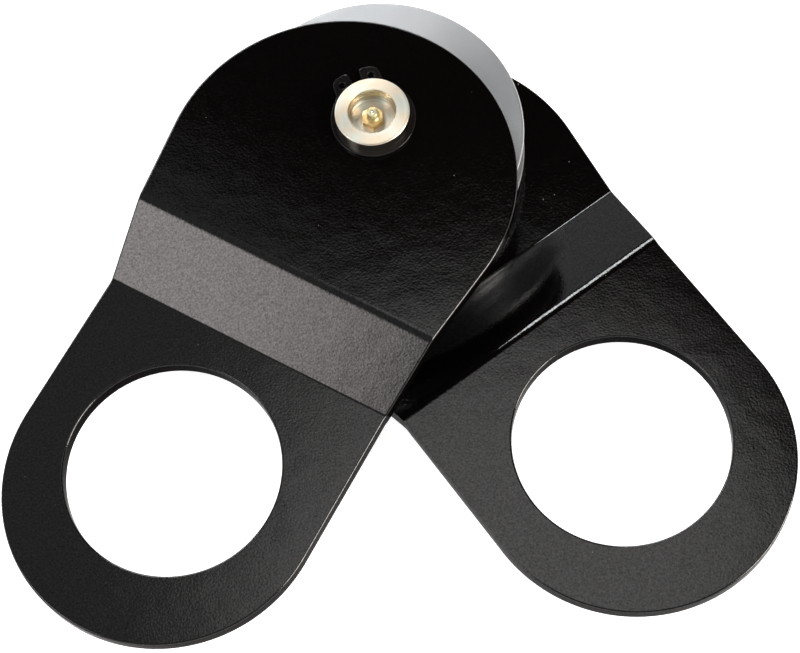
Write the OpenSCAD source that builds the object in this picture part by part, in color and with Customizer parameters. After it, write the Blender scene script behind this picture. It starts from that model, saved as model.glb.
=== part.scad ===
// Swing-cheek snatch block: one grooved sheave on a greased pin between two joggled
// steel side plates. The plates are shown swung apart, as for laying a rope in.
// +Z runs along the pin, and the origin is the middle of the pin and of the groove.

/* [Layout] */
// Angle between the two side plates (0 closes the block)
open_angle = 65; // [0:1:180]
// Clear width between the two side plates
plate_gap = 37; // [36:0.5:40]

/* [Side plates] */
// Thickness of the steel plate
plate_t = 9.5; // [8:0.5:12]
// Radius of the wide head around the pin
head_r = 94.5; // [88:0.5:100]
// Distance from the pin to the centre of the head
head_offset = 38.5; // [34:0.5:42]
// Radius of the round end, and half the width of the neck
end_r = 83; // [78:0.5:86]
// Distance from the pin to the centre of the round end
end_x = 222; // [214:0.5:232]
// Distance from the pin to the centre of the shackle eye
eye_x = 213; // [206:0.5:217]
// Diameter of the shackle eye
eye_d = 112; // [90:1:114]
// Distance from the pin to the first fold of the joggle
fold_x = 95; // [92:0.5:98]
// Slope of the joggle
fold_angle = 23.5; // [23:0.5:28]
// Inner radius of both folds
fold_r = 4; // [2:0.5:6]
// Gap between the two eyes when the block is closed
eye_gap = 0.5; // [0.4:0.1:1.5]

/* [Sheave] */
// Outer diameter of the sheave
sheave_d = 160; // [150:1:164]
// Width of the rim over both flanges
rim_w = 26; // [24:0.5:27]
// Radius of the round bottom of the rope groove
groove_r = 8.5; // [7.5:0.5:9]
// Depth of the rope groove below the rim
groove_depth = 17; // [14:0.5:18]
// Width of the mouth of the rope groove
groove_mouth = 20.5; // [19:0.5:21]
// Diameter of the raised hub
hub_d = 68; // [60:1:90]

/* [Pin and bush] */
// Diameter of the pin
pin_d = 40; // [38:1:40]
// How far the pin stands out of each side plate
pin_stand = 8.5; // [7:0.5:10]
// Diameter of the counterbore that shelters the grease nipple
well_d = 24.4; // [23:0.2:25]
// Depth of that counterbore
well_depth = 9.2; // [8.6:0.2:11]
// Outer diameter of the bronze bush
bush_d = 50; // [46:1:54]
// Thickness of the thrust washers
washer_t = 1.3; // [1:0.1:1.6]
// Outer diameter of the thrust washers
washer_d = 66; // [56:1:68]

/* [Circlips] */
// Thickness of the circlips
clip_t = 1.75; // [1.5:0.05:2]
// Radial width of the ring opposite its gap
clip_w = 4.4; // [4:0.1:4.8]
// Direction in which the gap of the front circlip opens
clip_turn = 108; // [0:1:359]

/* [Grease nipple] */
// Width of the hexagon across its flats
hex_w = 11; // [10:0.5:12]
// Diameter of the nipple's head
nipple_head_d = 6.5; // [6.4:0.1:6.7]

/* [Hidden] */
$fn = 96;
eps = 0.02;            // overlap that lets cuts pass clean through
tuck = 0.05;           // how far a straight edge ends inside the round one that it runs into
play = 0.3;            // gap between faces that turn against each other
run_fit = 0.08;        // radial clearance of the pin in the plates and the bush
plate_z = plate_gap / 2;                    // inner face of the front plate at the head
eye_z = eye_gap / 2;                        // inner face of the front plate at the eye
outer_z = plate_z + plate_t;                // outer face of the front plate at the head
pin_half = outer_z + pin_stand;             // half the length of the pin
washer_z = plate_z - play - washer_t;       // inner face of the front washer
hub_half = washer_z - play;                 // half the width of the hub
core_half = 5;                              // half the width of the sheave's middle disc
clip_z = outer_z + play;                    // inner face of the front circlip
clip_seat_r = pin_d / 2 - 1.25;             // radius of the circlip's groove in the pin
groove_clear = 0.1;                         // how much wider the groove is than the circlip
nipple_shank_r = 5;                         // thread of the nipple, at its full radius
nipple_shank_len = 6;
grease_way_r = 2.5;                         // drilled ways from the nipple to the bush
well_z = pin_half - well_depth;             // floor of the counterbore
hex_turn = 28;                              // direction of one corner of the hexagon
hex_h = 3.2;                                // height of the nipple's hexagon
nipple_h = 8.2;                             // height of the nipple above that floor
nipple_bore_r = 1.4;                        // way for the ball and its spring
nipple_mouth_r = 0.95;                      // mouth that the ball closes from below
mouth_h = 0.5;                              // depth of that mouth
ball_r = 1.25;
ball_play = 0.04;                           // air between the ball and its seat
ball_z = well_z + nipple_h - mouth_h - ball_play
       - sqrt(ball_r * ball_r - nipple_mouth_r * nipple_mouth_r);
spring_r = 1;                               // mean radius of the spring
wire_r = 0.2;
spring_coils = 6;
spring_low = well_z - nipple_shank_len + 1 + wire_r + 0.05;
spring_high = ball_z - sqrt(ball_r * ball_r - spring_r * spring_r) - wire_r - 0.15;

// Points along an arc from angle a0 to a1
function arc(cx, cy, r, a0, a1, steps = 10) =
    [for (i = [0:steps]) let (a = a0 + (a1 - a0) * i / steps) [cx + r * cos(a), cy + r * sin(a)]];

// A plate outline from one centre line: broad head, tapered shoulders, neck and round end
module plate_outline() {
    neck_x = fold_x + (plate_z - eye_z) / tan(fold_angle) + 3;
    neck = end_r - tuck;
    touch_r = head_r - tuck;
    reach = norm([neck_x - head_offset, neck]);
    touch = atan2(neck, neck_x - head_offset) + acos(touch_r / reach);
    shoulder = [head_offset + touch_r * cos(touch), touch_r * sin(touch)];
    translate([head_offset, 0])
        circle(r = head_r);
    translate([end_x, 0])
        circle(r = end_r);
    polygon([[shoulder[0], -shoulder[1]], [neck_x, -neck], [end_x, -neck],
             [end_x, neck], [neck_x, neck], shoulder]);
}

// Side view of the joggled sheet: level, sloping down, and level again
module joggle_profile() {
    mid_r = fold_r + plate_t / 2;
    setback = mid_r * tan(fold_angle / 2);
    drop = plate_z - eye_z;
    run = drop / tan(fold_angle);
    x1 = fold_x - setback;
    x2 = fold_x + run + setback;
    z1 = plate_z - fold_r;
    z2 = eye_z + plate_t + fold_r;
    tail_x = -head_r;
    tip_x = end_x + end_r + 1;
    outer = fold_r + plate_t;
    polygon(concat(
        [[tail_x, plate_z], [tail_x, outer_z]],
        arc(x1, z1, outer, 90, 90 - fold_angle),
        arc(x2, z2, fold_r, 270 - fold_angle, 270),
        [[tip_x, eye_z + plate_t], [tip_x, eye_z]],
        arc(x2, z2, outer, 270, 270 - fold_angle),
        arc(x1, z1, fold_r, 90 - fold_angle, 90)));
}

// One side plate, with its length along +X and its eye at the middle of the block
module side_plate() {
    difference() {
        intersection() {
            linear_extrude(height = outer_z + 1)
                plate_outline();
            rotate([90, 0, 0])
                linear_extrude(height = 2 * head_r + 2, center = true)
                    joggle_profile();
        }
        translate([0, 0, plate_z - 1])
            cylinder(r = pin_d / 2 + run_fit, h = plate_t + 2);
        translate([eye_x, 0, eye_z - 1])
            cylinder(d = eye_d, h = plate_t + 2);
    }
}

module front_side_plate() {
    color([0.07, 0.07, 0.07])
        rotate([0, 0, -90 - open_angle / 2])
            side_plate();
}

module rear_side_plate() {
    color([0.07, 0.07, 0.07])
        rotate([0, 0, -90 + open_angle / 2])
            mirror([0, 0, 1])
                side_plate();
}

// Half section of the sheave: radius along x, width along y
module sheave_section() {
    rim_r = sheave_d / 2;
    rim_half = rim_w / 2;
    mouth = groove_mouth / 2;
    root = rim_r - groove_depth;
    seat_r = root + groove_r;
    // The flank touches the round bottom and runs out to the mouth
    flank = [rim_r - seat_r, mouth];
    flank_turn = atan2(flank[1], flank[0]) + acos(groove_r / norm(flank));
    edge = 1.2;
    polygon(concat(
        [[bush_d / 2, -hub_half], [hub_d / 2 - edge, -hub_half], [hub_d / 2, edge - hub_half],
         [hub_d / 2, -rim_half]],
        arc(rim_r - edge, edge - rim_half, edge, -90, 0, 4),
        [[rim_r, -mouth]],
        arc(seat_r, 0, groove_r, -flank_turn, flank_turn - 360, 24),
        [[rim_r, mouth]],
        arc(rim_r - edge, rim_half - edge, edge, 0, 90, 4),
        [[hub_d / 2, rim_half], [hub_d / 2, hub_half - edge], [hub_d / 2 - edge, hub_half],
         [bush_d / 2, hub_half]]));
}

// Disc of the sheave between two heights; the three discs meet face to face
module sheave_disc(low, high) {
    color([0.72, 0.73, 0.75])
        rotate_extrude()
            intersection() {
                sheave_section();
                translate([0, low])
                    square([sheave_d, high - low]);
            }
}

module sheave_front_flange() {
    sheave_disc(core_half, hub_half + 1);
}

module sheave_core() {
    sheave_disc(-core_half, core_half);
}

module sheave_rear_flange() {
    sheave_disc(-hub_half - 1, -core_half);
}

// Ring with a rectangular section, standing on z
module ring(r_in, r_out, z, h) {
    translate([0, 0, z])
        difference() {
            cylinder(r = r_out, h = h);
            translate([0, 0, -1])
                cylinder(r = r_in, h = h + 2);
        }
}

module sheave_bush() {
    color([0.72, 0.52, 0.28])
        ring(pin_d / 2 + run_fit, bush_d / 2, -hub_half, 2 * hub_half);
}

module front_thrust_washer() {
    color([0.7, 0.7, 0.68])
        ring(pin_d / 2 + run_fit, washer_d / 2, washer_z, washer_t);
}

module rear_thrust_washer() {
    color([0.7, 0.7, 0.68])
        ring(pin_d / 2 + run_fit, washer_d / 2, -washer_z - washer_t, washer_t);
}

module axle_pin() {
    chamfer = 1;
    pin_r = pin_d / 2;
    mouth_step = 0.7;
    color([0.8, 0.78, 0.72])
        difference() {
            rotate_extrude()
                polygon([[0, -pin_half], [pin_r - chamfer, -pin_half], [pin_r, chamfer - pin_half],
                         [pin_r, pin_half - chamfer], [pin_r - chamfer, pin_half], [0, pin_half]]);
            for (side = [-1, 1])
                translate([0, 0, side * (clip_z + clip_t / 2)])
                    ring(clip_seat_r - eps, pin_r + 1, -clip_t / 2 - groove_clear / 2, clip_t + groove_clear);
            translate([0, 0, well_z])
                cylinder(d = well_d, h = well_depth + 1);
            translate([0, 0, pin_half - 1.5])
                cylinder(d1 = well_d, d2 = well_d + 2 * mouth_step, h = 1.5 + eps);
            translate([0, 0, well_z - nipple_shank_len])
                cylinder(r = nipple_shank_r, h = nipple_shank_len + 1);
            translate([0, 0, -grease_way_r])
                cylinder(r = grease_way_r, h = well_z);
            rotate([0, 90, 0])
                cylinder(r = grease_way_r, h = pin_r + 1);
        }
}

// Place on a circlip at a radius and an angle from its gap
function clip_at(r, turn) = [r * cos(turn), r * sin(turn)];

// Circlip with its gap along +X, standing on z = 0
module circlip() {
    gap_half = 6.5;
    far = 40;
    thinning = 0.6;
    lug_turn = 19;
    lug_at = 25.4;
    difference() {
        union() {
            translate([-thinning, 0, 0])
                cylinder(r = clip_seat_r + clip_w - thinning, h = clip_t);
            for (side = [-1, 1]) {
                translate(concat(clip_at(lug_at, side * lug_turn), 0))
                    cylinder(r = 5, h = clip_t);
                linear_extrude(height = clip_t)
                    polygon([for (p = [[17, 3], [29.4, 3], [30.3, 9], [29.6, 26], [24, 33], [20, 40]])
                             clip_at(p[0], side * p[1])]);
            }
        }
        translate([0, 0, -1])
            cylinder(r = clip_seat_r, h = clip_t + 2);
        for (side = [-1, 1])
            translate(concat(clip_at(lug_at, side * lug_turn), -1))
                cylinder(r = 2, h = clip_t + 2);
        translate([0, 0, -1])
            linear_extrude(height = clip_t + 2)
                polygon([[0, 0], clip_at(far, -gap_half), clip_at(far, gap_half)]);
    }
}

module front_circlip() {
    color([0.12, 0.12, 0.12])
        translate([0, 0, clip_z])
            rotate([0, 0, clip_turn])
                circlip();
}

module rear_circlip() {
    color([0.12, 0.12, 0.12])
        translate([0, 0, -clip_z - clip_t])
            rotate([0, 0, -90])
                circlip();
}

// Brass nipple: threaded shank, hexagon, neck and conical head, bored for its valve
module grease_nipple() {
    head_r1 = nipple_head_d / 2;
    crimp_r = 0.7;
    color([0.8, 0.6, 0.25])
        translate([0, 0, well_z])
            difference() {
                union() {
                    translate([0, 0, -nipple_shank_len])
                        cylinder(r = nipple_shank_r, h = nipple_shank_len);
                    rotate([0, 0, hex_turn])
                        cylinder(d = hex_w / cos(30), h = hex_h, $fn = 6);
                    rotate_extrude()
                        polygon([[0, 0], [3.6, hex_h], [2.5, hex_h + 0.9], [2.5, nipple_h - 3],
                                 [head_r1, nipple_h - 2], [head_r1, nipple_h - 1.4],
                                 [2.4, nipple_h], [0, nipple_h]]);
                }
                translate([0, 0, -nipple_shank_len - 1])
                    cylinder(r = crimp_r, h = 3);
                translate([0, 0, 1 - nipple_shank_len])
                    cylinder(r = nipple_bore_r, h = nipple_h - mouth_h - 1 + nipple_shank_len);
                translate([0, 0, nipple_h - mouth_h - eps])
                    cylinder(r = nipple_mouth_r, h = 1);
            }
}

module nipple_ball() {
    color([0.75, 0.75, 0.78])
        translate([0, 0, ball_z])
            sphere(r = ball_r, $fn = 32);
}

// Point on the spring's wire: turn along the coil, then turn around the wire
function wire_point(turn, around) =
    let (r = spring_r + wire_r * cos(around))
    [r * cos(turn), r * sin(turn),
     spring_low + (spring_high - spring_low) * turn / (360 * spring_coils) + wire_r * sin(around)];

// Coil spring that pushes the ball up against its seat
module nipple_spring() {
    sides = 6;
    steps = 14 * spring_coils;
    points = [for (i = [0:steps], k = [0:sides - 1])
              wire_point(360 * spring_coils * i / steps, 360 * k / sides)];
    walls = [for (i = [0:steps - 1], k = [0:sides - 1], half = [0, 1])
             let (n = (k + 1) % sides, here = i * sides, next = here + sides)
             half == 0 ? [here + k, here + n, next + n] : [here + k, next + n, next + k]];
    start = [for (k = [0:sides - 1]) sides - 1 - k];
    finish = [for (k = [0:sides - 1]) steps * sides + k];
    color([0.6, 0.6, 0.62])
        polyhedron(points, concat(walls, [start, finish]));
}

front_side_plate();
rear_side_plate();
sheave_front_flange();
sheave_core();
sheave_rear_flange();
sheave_bush();
axle_pin();
front_thrust_washer();
rear_thrust_washer();
front_circlip();
rear_circlip();
grease_nipple();
nipple_ball();
nipple_spring();
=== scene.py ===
"""Looks of the swing-cheek snatch block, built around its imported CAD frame.

Lengths in the section of sizes are in millimetres; everything in Blender is in metres.
"""
import math

import bmesh
import bpy
import numpy as np
from mathutils import Matrix, Vector


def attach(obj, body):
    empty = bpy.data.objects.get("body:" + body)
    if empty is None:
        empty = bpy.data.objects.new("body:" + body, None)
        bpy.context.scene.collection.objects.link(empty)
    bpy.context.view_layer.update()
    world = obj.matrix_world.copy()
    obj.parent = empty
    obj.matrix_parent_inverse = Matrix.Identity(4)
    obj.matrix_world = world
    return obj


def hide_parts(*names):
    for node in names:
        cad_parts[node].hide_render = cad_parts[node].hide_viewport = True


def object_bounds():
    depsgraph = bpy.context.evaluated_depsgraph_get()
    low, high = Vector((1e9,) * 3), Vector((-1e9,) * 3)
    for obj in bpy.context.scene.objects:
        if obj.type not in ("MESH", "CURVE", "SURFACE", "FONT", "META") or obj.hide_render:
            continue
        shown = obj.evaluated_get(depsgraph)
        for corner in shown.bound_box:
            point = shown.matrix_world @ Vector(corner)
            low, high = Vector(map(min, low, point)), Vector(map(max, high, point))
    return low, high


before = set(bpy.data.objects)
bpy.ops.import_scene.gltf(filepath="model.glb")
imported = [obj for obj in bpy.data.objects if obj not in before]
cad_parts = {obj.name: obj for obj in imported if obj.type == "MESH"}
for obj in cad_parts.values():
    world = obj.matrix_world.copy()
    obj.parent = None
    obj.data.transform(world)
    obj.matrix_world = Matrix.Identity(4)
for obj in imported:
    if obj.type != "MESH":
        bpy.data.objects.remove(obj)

MM = 0.001
cad_low, cad_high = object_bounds()

# ---------------------------------------------------------------- sizes, in mm
SWING = 32.5              # half the angle between the two side plates, in degrees
PLATE_T = 9.5
PLATE_Z = 18.5            # inner face of a side plate at the head
EYE_Z = 0.25              # the same face at the shackle eye
HEAD_R, HEAD_X = 94.5, 38.5      # round end over the sheave, and its centre's distance from the pin
END_R, END_X = 83.0, 222.0       # round end over the eye
EYE_R, EYE_X = 56.0, 213.0       # shackle eye
FOLD_X, FOLD_R = 95.0, 4.0       # first fold of the joggle, and the inner radius of both
FOLD = math.radians(23.5)
NECK_PAST_FOLD = 3.0      # the outline's necks lie this far past the second fold
PLATE_EDGE = 1.1          # rounding of the coated plate edges
PIN_R, PIN_HALF = 20.0, 36.5
PIN_HOLE_R = 20.08
WELL_R, WELL_DEPTH = 12.2, 9.2   # counterbore that shelters the nipple
MARK_FIRST, MARK_PITCH, MARK_DEPTH, MARK_HALF = 2.6, 1.6, 0.25, 0.45    # tool marks in the well
REAR_CENTRE_R, REAR_CENTRE_MOUTH_R, REAR_CENTRE_DEPTH = 1.0, 2.6, 1.5
SHANK_R, SHANK_LEN = 5.0, 6.0
GREASE_WAY_R = 2.5
SHEAVE_R, RIM_HALF, HUB_R, HUB_HALF = 80.0, 13.0, 34.0, 16.6
GROOVE_R, GROOVE_DEPTH, MOUTH_HALF = 8.5, 17.0, 10.25
BUSH_R = 25.0
CLIP_T, CLIP_SEAT_R, CLIP_W = 1.75, 18.75, 4.4
CLIP_SLACK = 0.1          # room for a circlip in its groove
CLIP_Z = 28.3             # lower face of the front circlip
CLIP_TURN, REAR_CLIP_TURN = 108.0, -90.0    # directions of the gaps, in degrees
CLIP_GAP = 6.5            # half the angle of a gap, in degrees
CLIP_SHIFT = 0.6          # the ring is this much off centre, so it is widest opposite its gap
CLIP_EDGE = 0.22          # rounding of its stamped edges
LUG_HOLE_R, LUG_HOLE_AT, LUG_HOLE_TURN = 2.0, 25.4, 19.0
HEX_R, HEX_H, HEX_TURN = 6.351, 3.2, 28.0
NIPPLE_H, NIPPLE_HEAD_R, NIPPLE_NECK_R = 8.2, 3.25, 2.5
NIPPLE_MOUTH_R, NIPPLE_BORE_R = 0.95, 1.4
NIPPLE_SHARP = 28         # edges sharper than this stay sharp, in degrees

# ---------------------------------------------------------------- view and studio, in metres
VIEW_ANGLES = (5.1, 68.1, -9.4)       # azimuth, elevation and roll, in degrees
VIEW_TARGET = (0.0057, -0.1085, 0)
VIEW_DISTANCE = 1.037
LENS, SENSOR = 89.1, 36               # in mm
LIT_POINT = (0, -0.08, 0)             # near the middle of the block
LIGHT_DISTANCE = 3.0
TABLE_SIZE, TABLE_GAP = 12, 0.0005
TABLE_GLOW = 0.75         # makes the table white, like the background of a cut-out picture


# ---------------------------------------------------------------- camera
def place_camera():
    """Camera that looks down on the block, slightly rolled."""
    azimuth, elevation, roll = (math.radians(a) for a in VIEW_ANGLES)
    back = Vector((math.sin(azimuth) * math.cos(elevation),
                   -math.cos(azimuth) * math.cos(elevation), math.sin(elevation)))
    level = Vector((math.cos(azimuth), math.sin(azimuth), 0))
    right = Matrix.Rotation(roll, 3, back) @ level
    up = back.cross(right)
    data = bpy.data.cameras.new("camera")
    data.sensor_width = SENSOR
    data.lens = LENS
    camera = bpy.data.objects.new("camera", data)
    place = Matrix.Translation(Vector(VIEW_TARGET) + back * VIEW_DISTANCE)
    camera.matrix_world = place @ Matrix((right, up, back)).transposed().to_4x4()
    bpy.context.scene.collection.objects.link(camera)
    bpy.context.scene.camera = camera


# ---------------------------------------------------------------- materials
class Shader:
    """A Principled material and the few node chains that the finishes below share."""

    def __init__(self, name, color, metallic, roughness):
        self.material = bpy.data.materials.new(name)
        self.material.use_nodes = True
        self.tree = self.material.node_tree
        self.bsdf = self.tree.nodes["Principled BSDF"]
        self.bsdf.inputs["Base Color"].default_value = (*color, 1)
        self.bsdf.inputs["Metallic"].default_value = metallic
        self.bsdf.inputs["Roughness"].default_value = roughness
        self.place = self.node("ShaderNodeTexCoord").outputs["Object"]

    def node(self, kind, **settings):
        made = self.tree.nodes.new(kind)
        for key, value in settings.items():
            setattr(made, key, value)
        return made

    def feed(self, socket, value):
        if isinstance(value, bpy.types.NodeSocket):
            self.tree.links.new(value, socket)
        else:
            socket.default_value = value

    def noise(self, size, detail=2.0, rough=0.5, where=None):
        """Noise from 0 to 1 whose blobs are about size millimetres across."""
        n = self.node("ShaderNodeTexNoise")
        self.feed(n.inputs["Vector"], where or self.place)
        n.inputs["Scale"].default_value = 1 / (size * MM)
        n.inputs["Detail"].default_value = detail
        n.inputs["Roughness"].default_value = rough
        return n.outputs["Fac"]

    def spots(self, size, share):
        """Mask of small round spots, size millimetres apart, about share of a cell wide."""
        v = self.node("ShaderNodeTexVoronoi")
        self.feed(v.inputs["Vector"], self.place)
        v.inputs["Scale"].default_value = 1 / (size * MM)
        return self.remap(v.outputs["Distance"], share, share * 0.5, 0, 1)

    def math(self, operation, a, b=0.0):
        m = self.node("ShaderNodeMath", operation=operation)
        self.feed(m.inputs[0], a)
        self.feed(m.inputs[1], b)
        return m.outputs[0]

    def remap(self, value, low, high, to_low, to_high):
        m = self.node("ShaderNodeMapRange")
        for socket, given in zip(m.inputs, (value, low, high, to_low, to_high)):
            self.feed(socket, given)
        return m.outputs["Result"]

    def mix(self, share, first, second):
        m = self.node("ShaderNodeMix", data_type="RGBA")
        self.feed(m.inputs["Factor"], share)
        for socket, color in ((m.inputs["A"], first), (m.inputs["B"], second)):
            self.feed(socket, (*color, 1) if isinstance(color, tuple) else color)
        return m.outputs["Result"]

    def radius(self):
        """Distance from the pin's axis and height along it, in metres."""
        split = self.node("ShaderNodeSeparateXYZ")
        self.feed(split.inputs[0], self.place)
        squares = [self.math("POWER", split.outputs[k], 2.0) for k in (0, 1)]
        return self.math("SQRT", self.math("ADD", *squares)), split.outputs[2]

    def rings(self, pitch):
        """Fine irregular rings round the pin's axis, pitch millimetres apart."""
        r, z = self.radius()
        place = self.node("ShaderNodeCombineXYZ")
        self.feed(place.inputs[0], r)
        self.feed(place.inputs[1], z)
        return self.noise(pitch, detail=3.0, where=place.outputs[0])

    def bump(self, height, depth, over=None):
        """Bump of depth millimetres from a 0 to 1 height, laid over another bump if given."""
        b = self.node("ShaderNodeBump")
        b.inputs["Distance"].default_value = depth * MM
        self.feed(b.inputs["Height"], height)
        if over is not None:
            self.feed(b.inputs["Normal"], over)
        return b.outputs["Normal"]

    def edges(self, radius):
        """Mask that is 1 along edges sharper than radius millimetres and 0 on flat faces."""
        bevel = self.node("ShaderNodeBevel", samples=6)
        bevel.inputs["Radius"].default_value = radius * MM
        flat = self.node("ShaderNodeNewGeometry").outputs["Normal"]
        product = self.node("ShaderNodeVectorMath", operation="DOT_PRODUCT")
        self.feed(product.inputs[0], bevel.outputs[0])
        self.feed(product.inputs[1], flat)
        return self.remap(product.outputs["Value"], 0.995, 0.93, 0, 1)

    def upright(self):
        """1 where the surface faces straight up or down, 0 on a wall."""
        split = self.node("ShaderNodeSeparateXYZ")
        self.feed(split.inputs[0], self.node("ShaderNodeNewGeometry").outputs["Normal"])
        return self.math("ABSOLUTE", split.outputs[2])

    def tool_marks(self, strength):
        """Spreads reflections across the tool marks, which run round the pin's axis."""
        around = self.node("ShaderNodeTangent", direction_type="RADIAL", axis="Z")
        self.feed(self.bsdf.inputs["Tangent"], around.outputs[0])
        self.feed(self.bsdf.inputs["Anisotropic"], strength)
        self.bsdf.inputs["Anisotropic Rotation"].default_value = 0.25

    def set(self, name, value):
        self.feed(self.bsdf.inputs[name], value)


def black_powder_coat():
    """Semi-gloss black powder coat with fine orange peel and a little dust."""
    s = Shader("black_powder_coat", (0.0016, 0.0012, 0.0011), 0.0, 0.09)
    tone = s.noise(60, detail=3)
    dust = s.math("MULTIPLY", s.spots(9.0, 0.04), s.remap(s.noise(23), 0.5, 0.62, 0, 1))
    coat = s.mix(tone, (0.0012, 0.0009, 0.0008), (0.0019, 0.0015, 0.0014))
    s.set("Base Color", s.mix(s.math("MULTIPLY", dust, 0.5), coat, (0.5, 0.48, 0.45)))
    grain = s.noise(1.1, detail=3, rough=0.6)
    s.set("Roughness", s.remap(grain, 0.3, 0.7, 0.06, 0.10))
    # The plates' walls hardly reflect, so that the pale table does not show in them
    wall_ior, face_ior = 1.03, 1.5
    s.set("IOR", s.remap(s.upright(), 0.15, 0.55, wall_ior, face_ior))
    s.set("Specular IOR Level", s.remap(grain, 0.3, 0.7, 0.3, 0.7))
    peel = s.bump(s.noise(1.2, detail=1.5, rough=0.5), 0.034)
    s.set("Normal", s.bump(s.noise(14, detail=1), 0.08, over=peel))
    return s.material


def satin_zinc():
    """Cool satin zinc plate of the sheave, with faint turning rings."""
    s = Shader("sheave_zinc", (0.62, 0.64, 0.67), 0.85, 0.42)
    cloud = s.noise(26, detail=4)
    grain = s.noise(0.5, detail=3, rough=0.7)
    base = s.mix(cloud, (0.31, 0.32, 0.335), (0.40, 0.405, 0.41))
    speckled = s.mix(s.remap(grain, 0.3, 0.7, 0, 0.5), base, (0.50, 0.505, 0.51))
    s.set("Base Color", speckled)
    s.set("Roughness", s.remap(s.noise(0.8, detail=3), 0.3, 0.7, 0.32, 0.44))
    s.tool_marks(0.6)
    rings = s.bump(s.rings(0.35), 0.006)
    s.set("Normal", s.bump(grain, 0.012, over=rings))
    return s.material


def bright_zinc():
    """Bright, faintly yellow zinc plate of the pin, with clear turning rings."""
    s = Shader("pin_zinc", (0.82, 0.79, 0.70), 1.0, 0.42)
    tint = s.noise(7, detail=2)
    base = s.mix(s.remap(tint, 0.35, 0.65, 0, 1), (0.74, 0.62, 0.47), (0.68, 0.70, 0.62))
    rings = s.rings(0.28)
    s.set("Base Color", s.mix(s.remap(rings, 0.35, 0.6, 0.2, 0), base, (0.5, 0.47, 0.38)))
    face = s.upright()
    s.set("Roughness", s.remap(face, 0.2, 0.8, 0.12, s.remap(rings, 0.3, 0.7, 0.34, 0.5)))
    s.tool_marks(s.remap(face, 0.2, 0.8, 0, 0.5))
    fine = s.bump(rings, 0.005)
    s.set("Normal", s.bump(s.noise(0.6, detail=3), 0.014, over=fine))
    return s.material


def bearing_bronze():
    """Machined bronze of the bush, a little tarnished."""
    s = Shader("bush_bronze", (0.62, 0.43, 0.22), 1.0, 0.32)
    tarnish = s.noise(5, detail=4)
    s.set("Base Color", s.mix(s.remap(tarnish, 0.35, 0.7, 0, 1), (0.66, 0.46, 0.24), (0.36, 0.23, 0.11)))
    s.set("Roughness", s.remap(tarnish, 0.3, 0.7, 0.25, 0.45))
    s.set("Normal", s.bump(s.rings(0.3), 0.008))
    return s.material


def ground_steel():
    """Ground steel of the thrust washers, with a film of grease."""
    s = Shader("washer_steel", (0.56, 0.56, 0.54), 1.0, 0.3)
    smear = s.noise(4, detail=4)
    s.set("Base Color", s.mix(s.remap(smear, 0.4, 0.7, 0, 0.6), (0.60, 0.60, 0.58), (0.30, 0.28, 0.24)))
    s.set("Roughness", s.remap(smear, 0.3, 0.7, 0.22, 0.4))
    s.set("Normal", s.bump(s.rings(0.22), 0.006))
    return s.material


def oiled_phosphate():
    """Dull black phosphate of the circlips, rubbed a little along the edges."""
    s = Shader("black_phosphate", (0.006, 0.005, 0.005), 0.0, 0.3)
    grain = s.noise(0.35, detail=3)
    coat = s.mix(s.noise(3, detail=3), (0.0045, 0.0036, 0.0037), (0.009, 0.0075, 0.0075))
    s.set("Base Color", s.mix(s.math("MULTIPLY", s.edges(0.25), 0.35), coat, (0.12, 0.115, 0.11)))
    s.set("Roughness", s.remap(grain, 0.3, 0.7, 0.07, 0.13))
    s.set("Normal", s.bump(grain, 0.01))
    return s.material


def turned_brass():
    """Turned brass of the grease nipple, with painted shade in orange-brown on its hexagon and the foot
    of its neck.
    """
    s = Shader("nipple_brass", (0.92, 0.80, 0.48), 1.0, 0.24)
    tarnish = s.noise(5, detail=2)
    hex_top = PIN_HALF - WELL_DEPTH + HEX_H
    # Painted shade: the hexagon and the foot of the neck, down in the well, are painted a warmer
    # orange-brown, the look of brass in shade; the head above keeps the paler brass.
    painted_shade_foot = s.remap(s.radius()[1], hex_top * MM, (hex_top + 1.2) * MM, 1, 0)
    plain_with_painted_shade = s.mix(painted_shade_foot, (0.66, 0.62, 0.40), (0.86, 0.62, 0.28))
    s.set("Base Color", s.mix(s.remap(tarnish, 0.45, 0.7, 0, 0.3), plain_with_painted_shade, (0.62, 0.38, 0.12)))
    s.set("Roughness", s.remap(tarnish, 0.3, 0.7, 0.30, 0.42))
    s.set("Normal", s.bump(s.noise(0.8), 0.002))
    return s.material


def polished_steel():
    """Polished steel of the check ball."""
    s = Shader("ball_steel", (0.78, 0.78, 0.80), 1.0, 0.12)
    s.set("Roughness", s.remap(s.noise(0.4, detail=2), 0.3, 0.7, 0.08, 0.2))
    s.set("Normal", s.bump(s.noise(0.2), 0.001))
    return s.material


def spring_wire():
    """Drawn wire of the nipple's spring."""
    s = Shader("spring_steel", (0.5, 0.5, 0.52), 1.0, 0.3)
    s.set("Roughness", s.remap(s.noise(0.3, detail=2), 0.3, 0.7, 0.22, 0.4))
    s.set("Normal", s.bump(s.noise(0.15), 0.002))
    return s.material


def studio_white():
    """Matt white table that glows, so that it is white like the background of a cut-out."""
    s = Shader("studio_white", (0.9, 0.9, 0.9), 0.0, 0.8)
    s.set("Base Color", s.mix(s.noise(300, detail=2), (0.89, 0.89, 0.89), (0.91, 0.91, 0.91)))
    s.set("Emission Color", (1, 1, 1, 1))
    s.set("Emission Strength", TABLE_GLOW)
    return s.material


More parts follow.
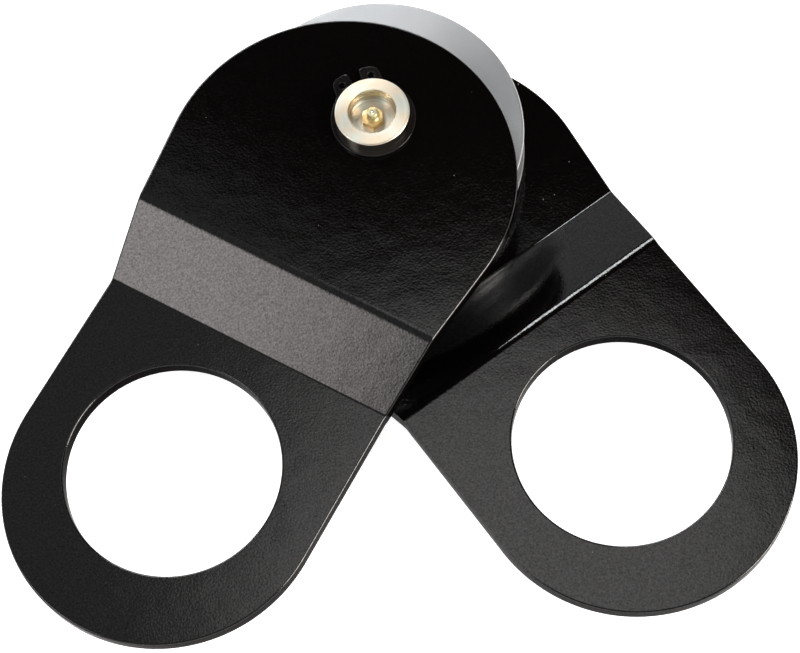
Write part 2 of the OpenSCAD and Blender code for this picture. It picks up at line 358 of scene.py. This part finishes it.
# ---------------------------------------------------------------- meshes
def finish_piece(bm, name, material, body, replaced, sharp=None):
    """Turns a bmesh in millimetres into a smooth piece that rides on a body.

    Edges sharper than sharp degrees, where it is given, stay sharp.
    """
    bmesh.ops.recalc_face_normals(bm, faces=bm.faces)
    bmesh.ops.scale(bm, vec=(MM, MM, MM), verts=bm.verts)
    mesh = bpy.data.meshes.new(name)
    bm.to_mesh(mesh)
    bm.free()
    mesh.shade_smooth()
    if sharp:
        mesh.set_sharp_from_angle(angle=math.radians(sharp))
    mesh.materials.append(material)
    piece = bpy.data.objects.new(name, mesh)
    bpy.context.scene.collection.objects.link(piece)
    weights = piece.modifiers.new("even_shading", "WEIGHTED_NORMAL")
    weights.mode = "FACE_AREA"
    weights.keep_sharp = sharp is not None
    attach(piece, body)
    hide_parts(*replaced)
    return piece


def arc(center, radius, start, end, steps):
    """Points along an arc, angles in radians."""
    turns = np.linspace(start, end, steps + 1)
    return [(center[0] + radius * math.cos(a), center[1] + radius * math.sin(a)) for a in turns]


def inset(loop, distance):
    """A closed anticlockwise loop moved to its left by distance, corner by corner."""
    pts = np.array(loop)
    along = np.roll(pts, -1, 0) - pts
    along /= np.linalg.norm(along, axis=1)[:, None]
    left = np.stack([-along[:, 1], along[:, 0]], 1)
    before = np.roll(left, 1, 0)
    middle = left + before
    middle /= (1 + (left * before).sum(1))[:, None]
    return pts + middle * distance


def rounded_sheet(outer, holes, thickness, edge, cuts=(), steps=4):
    """Flat sheet from z = 0 to thickness with rounded edges, as a bmesh.

    The outer loop runs anticlockwise and the holes clockwise.
    The sheet is cut across at each x of cuts.
    """
    bm = bmesh.new()
    turns = np.linspace(0, math.pi / 2, steps + 1)
    levels = [(edge * (1 - math.sin(a)), edge * (1 - math.cos(a))) for a in turns]
    levels += [(d, thickness - z) for d, z in reversed(levels)]
    rims = {0: [], len(levels) - 1: []}
    for loop in (outer, *holes):
        rows = []
        for k, (distance, z) in enumerate(levels):
            rows.append([bm.verts.new((x, y, z)) for x, y in inset(loop, distance)])
            if k in rims:
                ring = rows[-1]
                rims[k] += [bm.edges.new((ring[i - 1], ring[i])) for i in range(len(ring))]
        for low, high in zip(rows, rows[1:]):
            for i in range(len(low)):
                bm.faces.new((low[i - 1], low[i], high[i], high[i - 1]))
    for edges in rims.values():
        bmesh.ops.triangle_fill(bm, use_beauty=True, edges=edges)
    for x in cuts:
        bmesh.ops.bisect_plane(bm, geom=[*bm.verts, *bm.edges, *bm.faces], dist=1e-5,
                               plane_co=(x, 0, 0), plane_no=(1, 0, 0))
    return bm


def filleted(corners, steps=5):
    """Open line through (radius, height, fillet) corners, with each fillet as an arc."""
    line = [corners[0][:2]]
    for before, here, after in zip(corners, corners[1:], corners[2:]):
        p, size = np.array(here[:2]), here[2]
        if size == 0:
            line.append(tuple(p))
            continue
        a = np.array(before[:2]) - p
        b = np.array(after[:2]) - p
        a, b = a / np.linalg.norm(a), b / np.linalg.norm(b)
        half = math.acos(np.clip(a @ b, -1, 1)) / 2
        center = p + (a + b) / np.linalg.norm(a + b) * size / math.sin(half)
        start, end = p + a * size / math.tan(half), p + b * size / math.tan(half)
        first, last = (math.atan2(*(q - center)[::-1]) for q in (start, end))
        turn = (last - first + math.pi) % (2 * math.pi) - math.pi
        line += arc(center, size, first, first + turn, steps)
    line.append(corners[-1][:2])
    return line


def turned(line, around, closed=True):
    """Solid of revolution about Z from a line of (radius, height) points, in around steps."""
    bm = bmesh.new()
    rows = []
    for r, z in line:
        if r < 1e-6:
            rows.append([bm.verts.new((0, 0, z))] * around)
            continue
        turns = [2 * math.pi * k / around for k in range(around)]
        rows.append([bm.verts.new((r * math.cos(a), r * math.sin(a), z)) for a in turns])
    pairs = list(zip(rows, rows[1:])) + ([(rows[-1], rows[0])] if closed else [])
    for low, high in pairs:
        for k in range(around):
            corners = (low[k - 1], low[k], high[k], high[k - 1])
            distinct = list(dict.fromkeys(corners))
            if len(distinct) > 2:
                bm.faces.new(distinct)
    return bm


# ---------------------------------------------------------------- side plates
def joggle():
    """Centres, radii and ends of the two folds: (x1, z1), (x2, z2) and the outer radius."""
    setback = (FOLD_R + PLATE_T / 2) * math.tan(FOLD / 2)
    run = (PLATE_Z - EYE_Z) / math.tan(FOLD)
    first = (FOLD_X - setback, PLATE_Z - FOLD_R)
    second = (FOLD_X + run + setback, EYE_Z + PLATE_T + FOLD_R)
    return first, second, FOLD_R + PLATE_T


def sheet_height(x, upper):
    """Height of the lower or upper face of the joggled sheet at a distance x from the pin."""
    (x1, z1), (x2, z2), wide = joggle()
    near, far = (wide, FOLD_R) if upper else (FOLD_R, wide)
    start = x1 + near * math.sin(FOLD)
    end = x2 - far * math.sin(FOLD)
    if x <= x1:
        return z1 + near
    if x < start:
        return z1 + math.sqrt(near ** 2 - (x - x1) ** 2)
    if x <= end:
        return z1 + near * math.cos(FOLD) - (x - start) * math.tan(FOLD)
    if x < x2:
        return z2 - math.sqrt(far ** 2 - (x - x2) ** 2)
    return z2 - far


def fold_cuts():
    """Distances at which the sheet is cut so that its folds come out round."""
    steps = 7
    (x1, _), (x2, _), wide = joggle()
    turns = [FOLD * k / steps for k in range(steps + 1)]
    cuts = {round(x1 + r * math.sin(a), 4) for r in (FOLD_R, wide) for a in turns}
    cuts |= {round(x2 - r * math.sin(a), 4) for r in (FOLD_R, wide) for a in turns}
    return sorted(cuts)


def plate_loop():
    """Outline of a side plate, anticlockwise, with its length along +X."""
    neck_x = FOLD_X + (PLATE_Z - EYE_Z) / math.tan(FOLD) + NECK_PAST_FOLD
    reach = math.hypot(neck_x - HEAD_X, END_R)
    touch = math.atan2(END_R, neck_x - HEAD_X) + math.acos(HEAD_R / reach)
    head = arc((HEAD_X, 0), HEAD_R, touch, 2 * math.pi - touch, 150)
    end = arc((END_X, 0), END_R, -math.pi / 2, math.pi / 2, 110)
    return head + [(neck_x, -END_R)] + end + [(neck_x, END_R)]


def side_plate(name, turn, flip, material, body):
    """One joggled side plate; the rear one is the same sheet turned over."""
    holes = [arc((0, 0), PIN_HOLE_R, 2 * math.pi, 2 * math.pi / 96, 95),
             arc((EYE_X, 0), EYE_R, 2 * math.pi, 2 * math.pi / 180, 179)]
    bm = rounded_sheet(plate_loop(), holes, PLATE_T, PLATE_EDGE, fold_cuts())
    for v in bm.verts:
        low, high = sheet_height(v.co.x, False), sheet_height(v.co.x, True)
        v.co.z = low + (high - low) * v.co.z / PLATE_T
    if flip:
        bmesh.ops.scale(bm, vec=(1, 1, -1), verts=bm.verts)
    bmesh.ops.rotate(bm, verts=bm.verts, matrix=Matrix.Rotation(math.radians(turn), 3, "Z"))
    finish_piece(bm, name, material, body, [name.replace("_skin", "")])


# ---------------------------------------------------------------- sheave, pin, circlips, nipple
def sheave_line():
    """Closed section of the sheave: round-bottomed groove, rounded rims and raised hubs."""
    seat = (SHEAVE_R - GROOVE_DEPTH + GROOVE_R, 0.0)
    flank = (SHEAVE_R - seat[0], MOUTH_HALF)
    reach = math.hypot(*flank)
    turn = math.atan2(flank[1], flank[0]) + math.acos(GROOVE_R / reach)
    touch = (seat[0] + GROOVE_R * math.cos(turn), GROOVE_R * math.sin(turn))
    half = filleted([(BUSH_R, HUB_HALF, 0), (HUB_R, HUB_HALF, 0.9), (HUB_R, RIM_HALF, 2.0),
                     (SHEAVE_R, RIM_HALF, 1.3), (SHEAVE_R, MOUTH_HALF, 0.7), (*touch, 0)])
    groove = arc(seat, GROOVE_R, turn, 2 * math.pi - turn, 28)
    other = [(r, -z) for r, z in reversed(half)]
    return half[:-1] + groove + other[1:]


def pin_line():
    """Half section of the pin, from the axis at its rear end to the axis at its front end."""
    well = PIN_HALF - WELL_DEPTH
    half_groove = (CLIP_T + CLIP_SLACK) / 2
    mid = CLIP_Z + CLIP_T / 2
    centre = REAR_CENTRE_DEPTH - PIN_HALF
    line = [(0, centre, 0), (REAR_CENTRE_R, centre, 0.1), (REAR_CENTRE_MOUTH_R, -PIN_HALF, 0.2),
            (PIN_R, -PIN_HALF, 0.9)]
    for z in (-mid, mid):
        line += [(PIN_R, z - half_groove, 0.1), (CLIP_SEAT_R, z - half_groove, 0.15),
                 (CLIP_SEAT_R, z + half_groove, 0.15), (PIN_R, z + half_groove, 0.1)]
    line += [(PIN_R, PIN_HALF, 0.9), (WELL_R + 0.7, PIN_HALF, 0.25), (WELL_R, PIN_HALF - 1.5, 0.4)]
    for z in (PIN_HALF - MARK_FIRST - MARK_PITCH * k for k in range(3)):
        line += [(WELL_R, z + MARK_HALF, 0.1), (WELL_R + MARK_DEPTH, z, 0.1),
                 (WELL_R, z - MARK_HALF, 0.1)]
    line += [(WELL_R, well, 0.6), (SHANK_R, well, 0.1), (SHANK_R, well - SHANK_LEN, 0.1),
             (GREASE_WAY_R, well - SHANK_LEN, 0.1), (GREASE_WAY_R, -GREASE_WAY_R, 0.1),
             (0, -GREASE_WAY_R, 0)]
    return filleted(line)


def smooth_through(points):
    """Catmull-Rom curve from the second point to the last but one."""
    steps = 6
    out = []
    pts = [np.array(p, float) for p in points]
    for a, b, c, d in zip(pts, pts[1:], pts[2:], pts[3:]):
        for k in range(steps):
            t = k / steps
            out.append(tuple(0.5 * (2 * b + (c - a) * t + (2 * a - 5 * b + 4 * c - d) * t ** 2
                                    + (3 * b - a - 3 * c + d) * t ** 3)))
    return out + [tuple(pts[-2])]


def circlip_loop():
    """Outline of a circlip with its gap along +X, anticlockwise."""
    gap = math.radians(CLIP_GAP)
    back_from = math.radians(52)
    # Radius in mm and angle in degrees, from the gap over the lug to the ring
    lug = [(29.0, CLIP_GAP), (30.0, 8.6), (30.4, 14), (30.2, 21), (29.0, 26), (26.2, 29.8),
           (23.6, 34), (22.6, 40), (22.5, 48)]
    polar = smooth_through([(28.0, 6.0)] + lug + [(22.5, 54)])
    side = [(r * math.cos(math.radians(a)), r * math.sin(math.radians(a))) for r, a in polar]
    back = arc((-CLIP_SHIFT, 0), CLIP_SEAT_R + CLIP_W - CLIP_SHIFT,
               back_from, 2 * math.pi - back_from, 80)
    other = [(x, -y) for x, y in reversed(side)]
    inner = arc((0, 0), CLIP_SEAT_R, 2 * math.pi - gap, gap, 120)
    return side + back + other + inner


def circlip(name, low, turn, material, replaced):
    """One circlip with its pliers' holes, its lower face at the height low."""
    holes = []
    for a in (math.radians(LUG_HOLE_TURN), -math.radians(LUG_HOLE_TURN)):
        center = (LUG_HOLE_AT * math.cos(a), LUG_HOLE_AT * math.sin(a))
        holes.append(arc(center, LUG_HOLE_R, 2 * math.pi, 2 * math.pi / 32, 31))
    bm = rounded_sheet(circlip_loop(), holes, CLIP_T, CLIP_EDGE, steps=3)
    bmesh.ops.rotate(bm, verts=bm.verts, matrix=Matrix.Rotation(math.radians(turn), 3, "Z"))
    bmesh.ops.translate(bm, verts=bm.verts, vec=(0, 0, low))
    finish_piece(bm, name, material, "axle", [replaced])


def grease_nipple(material):
    """Nipple: a hexagon with a chamfered top, a neck and a conical head with its mouth."""
    bm = bmesh.new()
    around = 96
    turns = [2 * math.pi * k / around for k in range(around)]
    flat = HEX_R * math.cos(math.pi / 6)

    def hexagon(angle):
        """Distance from the axis to the hexagon's side in a direction."""
        return flat / math.cos(angle % (math.pi / 3) - math.pi / 6)

    rows = [(0.7, 0, -SHANK_LEN), (SHANK_R - 0.4, 0, -SHANK_LEN), (SHANK_R, 0, 0.4 - SHANK_LEN),
            (SHANK_R, 0, 0.02), ("hex", -0.12, 0.02), ("hex", 0, 0.14), ("hex", 0, "side"),
            ("hex", -0.12, "top"), ("hex", -0.3, "top")]
    lip = NIPPLE_H - 0.5
    neck = filleted([(flat - 0.6, HEX_H, 0), (NIPPLE_NECK_R + 1.0, HEX_H, 0.25),
                     (NIPPLE_NECK_R, HEX_H + 0.9, 0.5), (NIPPLE_NECK_R, NIPPLE_H - 3.0, 0.3),
                     (NIPPLE_HEAD_R, NIPPLE_H - 2.0, 0.25), (NIPPLE_HEAD_R, NIPPLE_H - 1.4, 0.25),
                     (2.4, NIPPLE_H, 0.15), (NIPPLE_MOUTH_R, NIPPLE_H, 0.1),
                     (NIPPLE_MOUTH_R, lip, 0.1), (NIPPLE_BORE_R, lip, 0.05),
                     (NIPPLE_BORE_R, NIPPLE_H - 4.0, 0)], steps=4)
    rings = []
    for kind, shift, z in rows:
        ring = []
        for a in turns:
            r = hexagon(a) + shift if kind == "hex" else kind
            # The hexagon's corners are turned off by a 30 degree chamfer
            top = HEX_H - max(0.0, r - flat + 0.1) * math.tan(math.pi / 6)
            height = {"side": top - 0.12, "top": top}.get(z, z)
            ring.append(bm.verts.new((r * math.cos(a), r * math.sin(a), height)))
        rings.append(ring)
    for r, z in neck:
        rings.append([bm.verts.new((r * math.cos(a), r * math.sin(a), z)) for a in turns])
    for low, high in zip(rings, rings[1:]):
        for k in range(around):
            bm.faces.new((low[k - 1], low[k], high[k], high[k - 1]))
    bm.faces.new(rings[0])
    bm.faces.new(rings[-1])
    bmesh.ops.rotate(bm, verts=bm.verts, matrix=Matrix.Rotation(math.radians(HEX_TURN), 3, "Z"))
    bmesh.ops.translate(bm, verts=bm.verts, vec=(0, 0, PIN_HALF - WELL_DEPTH))
    finish_piece(bm, "grease_nipple_body", material, "axle", ["grease_nipple"],
                 sharp=NIPPLE_SHARP)


# ---------------------------------------------------------------- studio
def area_light(name, direction, width, height, radiance, color):
    """Soft rectangular light that shines on the middle of the block from a direction."""
    data = bpy.data.lights.new(name, "AREA")
    data.shape = "RECTANGLE"
    data.size, data.size_y = width, height
    data.energy = radiance * math.pi * width * height
    data.color = color
    lamp = bpy.data.objects.new(name, data)
    toward = Vector(direction).normalized()
    lamp.location = Vector(LIT_POINT) + toward * LIGHT_DISTANCE
    lamp.rotation_mode = "QUATERNION"
    lamp.rotation_quaternion = toward.to_track_quat("Z", "Y")
    lamp.visible_camera = False
    bpy.context.scene.collection.objects.link(lamp)


def studio():
    """White table, a room of four soft glows, and two area lights for thin highlights."""
    world = bpy.data.worlds.new("studio")
    world.use_nodes = True
    bpy.context.scene.world = world
    nodes, links = world.node_tree.nodes, world.node_tree.links
    toward = nodes.new("ShaderNodeTexCoord").outputs["Generated"]

    def glow(direction, inner, outer, radiance):
        """Light from round a direction: full within the cosine inner, none beyond outer."""
        dot = nodes.new("ShaderNodeVectorMath")
        dot.operation = "DOT_PRODUCT"
        links.new(toward, dot.inputs[0])
        dot.inputs[1].default_value = Vector(direction).normalized()
        fade = nodes.new("ShaderNodeMapRange")
        fade.interpolation_type = "SMOOTHSTEP"
        links.new(dot.outputs["Value"], fade.inputs["Value"])
        for socket, value in (("From Min", outer), ("From Max", inner), ("To Max", 1.0)):
            fade.inputs[socket].default_value = value
        tinted = nodes.new("ShaderNodeVectorMath")
        tinted.operation = "SCALE"
        tinted.inputs[0].default_value = radiance
        links.new(fade.outputs["Result"], tinted.inputs["Scale"])
        return tinted.outputs[0]

    walls = glow((0, 0, -1), -0.40, -0.55, (0.57, 0.58, 0.60))
    skylight = glow((0.015, 0.235, 0.97), 0.998, 0.981, (1.32, 1.30, 1.27))
    near_side = glow((-0.49, -0.87, 0), -0.31, -0.34, (0.34, 0.34, 0.34))
    window = glow((-0.60, -0.18, 0.78), 1.0, 0.961, (5.0, 4.65, 4.6))
    total = walls
    for more in (skylight, near_side, window):
        both = nodes.new("ShaderNodeVectorMath")
        links.new(total, both.inputs[0])
        links.new(more, both.inputs[1])
        total = both.outputs[0]
    links.new(total, nodes["Background"].inputs["Color"])
    area_light("back_strip", (-0.19, 0.73, 0.65), 2.4, 0.5, 14.0, (0.97, 0.99, 1.0))
    area_light("side_box", (0.80, -0.32, 0.45), 1.7, 1.7, 15.0, (1.0, 0.94, 0.87))
    bpy.ops.mesh.primitive_plane_add(size=TABLE_SIZE, location=(0, 0, cad_low.z - TABLE_GAP))
    floor = bpy.context.object
    floor.name = "table"
    floor.data.materials.append(studio_white())
    scene = bpy.context.scene
    scene.view_settings.view_transform = "Standard"
    scene.view_settings.look = "None"


def build():
    """Everything that is added to the frame: camera, pieces, finishes and studio."""
    place_camera()
    powder, zinc, bright = black_powder_coat(), satin_zinc(), bright_zinc()
    phosphate, brass = oiled_phosphate(), turned_brass()
    side_plate("front_side_plate_skin", -90 - SWING, False, powder, "front_cheek")
    side_plate("rear_side_plate_skin", -90 + SWING, True, powder, "rear_cheek")
    finish_piece(turned(sheave_line(), 256), "sheave_wheel", zinc, "wheel",
                 ["sheave_front_flange", "sheave_core", "sheave_rear_flange"])
    finish_piece(turned(pin_line(), 160, closed=False), "axle_pin_body", bright, "axle",
                 ["axle_pin"])
    circlip("front_circlip_body", CLIP_Z, CLIP_TURN, phosphate, "front_circlip")
    circlip("rear_circlip_body", -CLIP_Z - CLIP_T, REAR_CLIP_TURN, phosphate, "rear_circlip")
    grease_nipple(brass)
    kept = {"sheave_bush": bearing_bronze(), "front_thrust_washer": ground_steel(),
            "rear_thrust_washer": ground_steel(), "nipple_ball": polished_steel(),
            "nipple_spring": spring_wire()}
    for name, material in kept.items():
        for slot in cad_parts[name].material_slots:
            slot.material = material
    studio()


build()
